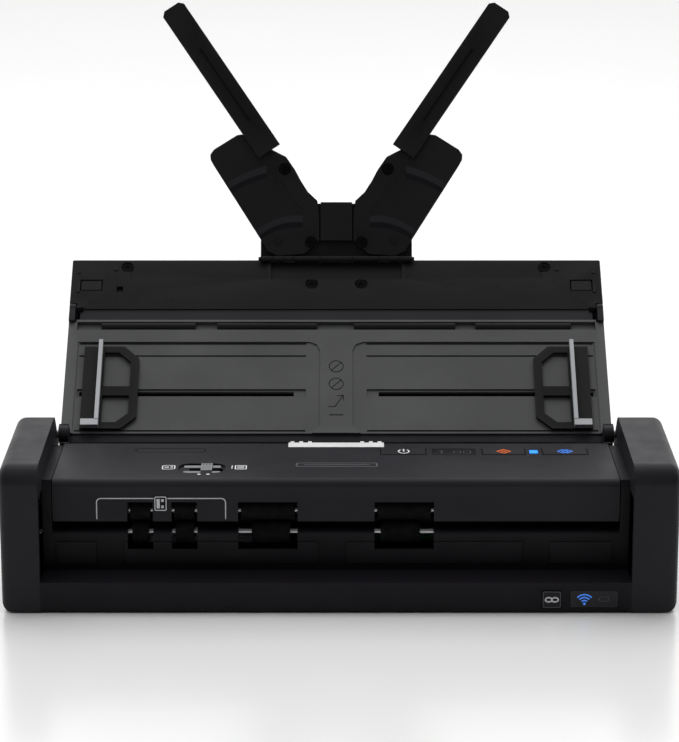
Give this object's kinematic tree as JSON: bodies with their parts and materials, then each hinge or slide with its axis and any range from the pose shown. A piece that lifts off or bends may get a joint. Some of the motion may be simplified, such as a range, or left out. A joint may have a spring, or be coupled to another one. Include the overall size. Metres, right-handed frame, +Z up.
{
  "type": "sheet fed document scanner",
  "caption": "Portable sheet fed document scanner with an open input tray, a folding flap, a V shaped paper support on two telescopic arms, sliding edge guides and a hinged upper cover.",
  "frame": {"origin": "centre of the footprint on the plane the feet stand on", "axes": "+X to the right seen from the front, +Y to the back, +Z up"},
  "size_m": [0.288, 0.212, 0.2336],
  "materials": {
    "case_black": "fine satin texture",
    "case_grey": "fine satin texture",
    "tray_grey": "satin",
    "tray_dark": "satin",
    "gloss_black": "polished",
    "key_black": "satin",
    "trim_grey": "satin",
    "fence_grey": "satin",
    "comb_white": "satin",
    "roller_rubber": "matte",
    "steel": "ground",
    "zinc_screw": "black coated",
    "lens_smoke": "polished",
    "light_blue": "diffusing",
    "scan_glass": "clear",
    "board_green": "solder resist",
    "socket_metal": "plated",
    "motor_metal": "zinc coat",
    "battery_wrap": "film"
  },
  "bodies": {
    "chassis": {"base_housing": "case_black", "rubber_feet": "roller_rubber", "left_end_cap": "case_grey", "right_end_cap": "case_grey", "left_side_wall": "case_black", "right_side_wall": "case_black", "lower_guide": "case_black", "lower_scan_glass": "scan_glass", "lower_sensor_module": "tray_dark", "main_board": "board_green", "usb_socket": "socket_metal", "dc_socket": "gloss_black", "battery_pack": "battery_wrap", "drive_motor": "motor_metal", "drive_belt": "roller_rubber", "indicator_window": "lens_smoke"},
    "cover": {"upper_cover": "case_grey", "cover_pins": "steel", "feed_comb": "comb_white", "upper_sensor_module": "tray_dark", "status_lens": "gloss_black", "light_bar": "light_blue"},
    "exit_roll": {"exit_shaft": "steel", "exit_pulley": "comb_white", "exit_rollers": "roller_rubber"},
    "feed_roll": {"feed_shaft": "steel", "feed_pulley": "comb_white", "feed_roller": "roller_rubber"},
    "pinch_roll": {"pinch_shaft": "steel", "pinch_rollers": "roller_rubber"},
    "power_key": {"power_button": "key_black"},
    "stop_key": {"stop_button": "key_black"},
    "start_key": {"start_button": "key_black"},
    "mode_knob": {"mode_switch": "trim_grey"},
    "connect_key": {"connect_button": "key_black"},
    "tray": {"tray_panel": "tray_grey", "hinge_covers": "tray_dark", "tray_cover": "case_grey", "tray_hinge_pins": "steel", "flap_hinge_pins": "steel"},
    "guide_left": {"left_guide": "tray_dark", "left_fence": "fence_grey"},
    "guide_right": {"right_guide": "tray_dark", "right_fence": "fence_grey"},
    "pinion": {"guide_pinion": "comb_white"},
    "flap": {"flap_panel": "tray_dark", "flap_cover": "case_grey", "flap_screws": "zinc_screw", "latch_tabs": "tray_grey", "support_hinge_rod": "steel"},
    "support": {"support_base": "tray_dark"},
    "arm_left": {"left_arm": "tray_dark", "left_arm_screws": "zinc_screw"},
    "arm_right": {"right_arm": "tray_dark", "right_arm_screws": "zinc_screw"},
    "blade_left": {"left_slider": "tray_dark"},
    "blade_right": {"right_slider": "tray_dark"}
  },
  "joints": [
    {"name": "cover_open", "type": "hinge", "parent": "chassis", "child": "cover", "pos_m": [0, -0.02225, 0.0394], "axis": [-1, 0, 0], "range_deg": [-40, 0]},
    {"name": "exit_drive", "type": "hinge", "parent": "chassis", "child": "exit_roll", "pos_m": [0, -0.02225, 0.0297], "axis": [1, 0, 0], "continuous": true},
    {"name": "feed_drive", "type": "hinge", "parent": "chassis", "child": "feed_roll", "pos_m": [0, 0.01775, 0.0349], "axis": [1, 0, 0], "continuous": true},
    {"name": "pinch_turn", "type": "hinge", "parent": "cover", "child": "pinch_roll", "pos_m": [0, -0.02225, 0.0394], "axis": [1, 0, 0], "continuous": true},
    {"name": "power_press", "type": "slide", "parent": "cover", "child": "power_key", "axis": [0, 0, -1], "range_m": [0, 0.0006], "stiffness_N_per_m": 400, "springref_m": -0.0005},
    {"name": "stop_press", "type": "slide", "parent": "cover", "child": "stop_key", "axis": [0, 0, -1], "range_m": [0, 0.0006], "stiffness_N_per_m": 400, "springref_m": -0.0005},
    {"name": "start_press", "type": "slide", "parent": "cover", "child": "start_key", "axis": [0, 0, -1], "range_m": [0, 0.0006], "stiffness_N_per_m": 400, "springref_m": -0.0005},
    {"name": "mode_slide", "type": "slide", "parent": "cover", "child": "mode_knob", "axis": [1, 0, 0], "range_m": [-0.004, 0.004]},
    {"name": "connect_press", "type": "slide", "parent": "chassis", "child": "connect_key", "axis": [0, 1, 0], "range_m": [0, 0.0006], "stiffness_N_per_m": 400, "springref_m": -0.0005},
    {"name": "tray_close", "type": "hinge", "parent": "chassis", "child": "tray", "pos_m": [0, 0.03925, 0.055], "axis": [1, 0, 0], "range_deg": [0, 141.5]},
    {"name": "left_guide_slide", "type": "slide", "parent": "tray", "child": "guide_left", "axis": [1, 0, 0], "range_m": [0, 0.078]},
    {"name": "right_guide_slide", "type": "slide", "parent": "tray", "child": "guide_right", "axis": [1, 0, 0], "range_m": [-0.0785, 0.0005]},
    {"name": "pinion_turn", "type": "hinge", "parent": "tray", "child": "pinion", "pos_m": [-0.0015, 0.06528, 0.06484], "axis": [0, -0.6225, 0.7826], "range_deg": [-690, 1]},
    {"name": "flap_fold", "type": "hinge", "parent": "tray", "child": "flap", "pos_m": [-0.0015, 0.10106, 0.09778], "axis": [1, 0, 0], "range_deg": [0, 90]},
    {"name": "support_fold", "type": "hinge", "parent": "flap", "child": "support", "pos_m": [-0.0015, 0.12251, 0.11739], "axis": [1, 0, 0], "range_deg": [0, 149.6]},
    {"name": "left_arm_swing", "type": "hinge", "parent": "support", "child": "arm_left", "pos_m": [-0.0292, 0.12704, 0.12529], "axis": [0, -0.9336, 0.3584], "range_deg": [0, 62.1]},
    {"name": "right_arm_swing", "type": "hinge", "parent": "support", "child": "arm_right", "pos_m": [0.0262, 0.12704, 0.12529], "axis": [0, 0.9336, -0.3584], "range_deg": [0, 62.1]},
    {"name": "left_blade_slide", "type": "slide", "parent": "arm_left", "child": "blade_left", "axis": [0.5592, -0.2971, -0.774], "range_m": [0, 0.0341]},
    {"name": "right_blade_slide", "type": "slide", "parent": "arm_right", "child": "blade_right", "axis": [-0.5592, -0.2971, -0.774], "range_m": [0, 0.0341]}
  ],
  "couplings": [
    {"joint": "feed_drive", "follows": "exit_drive", "ratio": 0.80328},
    {"joint": "pinch_turn", "follows": "exit_drive", "ratio": -1.093},
    {"joint": "right_guide_slide", "follows": "left_guide_slide", "ratio": -1},
    {"joint": "pinion_turn", "follows": "left_guide_slide", "rad_per_m": -153.85},
    {"joint": "support_fold", "follows": "tray_close", "ratio": 1.0565},
    {"joint": "left_arm_swing", "follows": "tray_close", "ratio": 0.43816},
    {"joint": "right_arm_swing", "follows": "tray_close", "ratio": 0.43816},
    {"joint": "left_blade_slide", "follows": "tray_close", "m_per_rad": 0.013767},
    {"joint": "right_blade_slide", "follows": "tray_close", "m_per_rad": 0.013767}
  ]
}
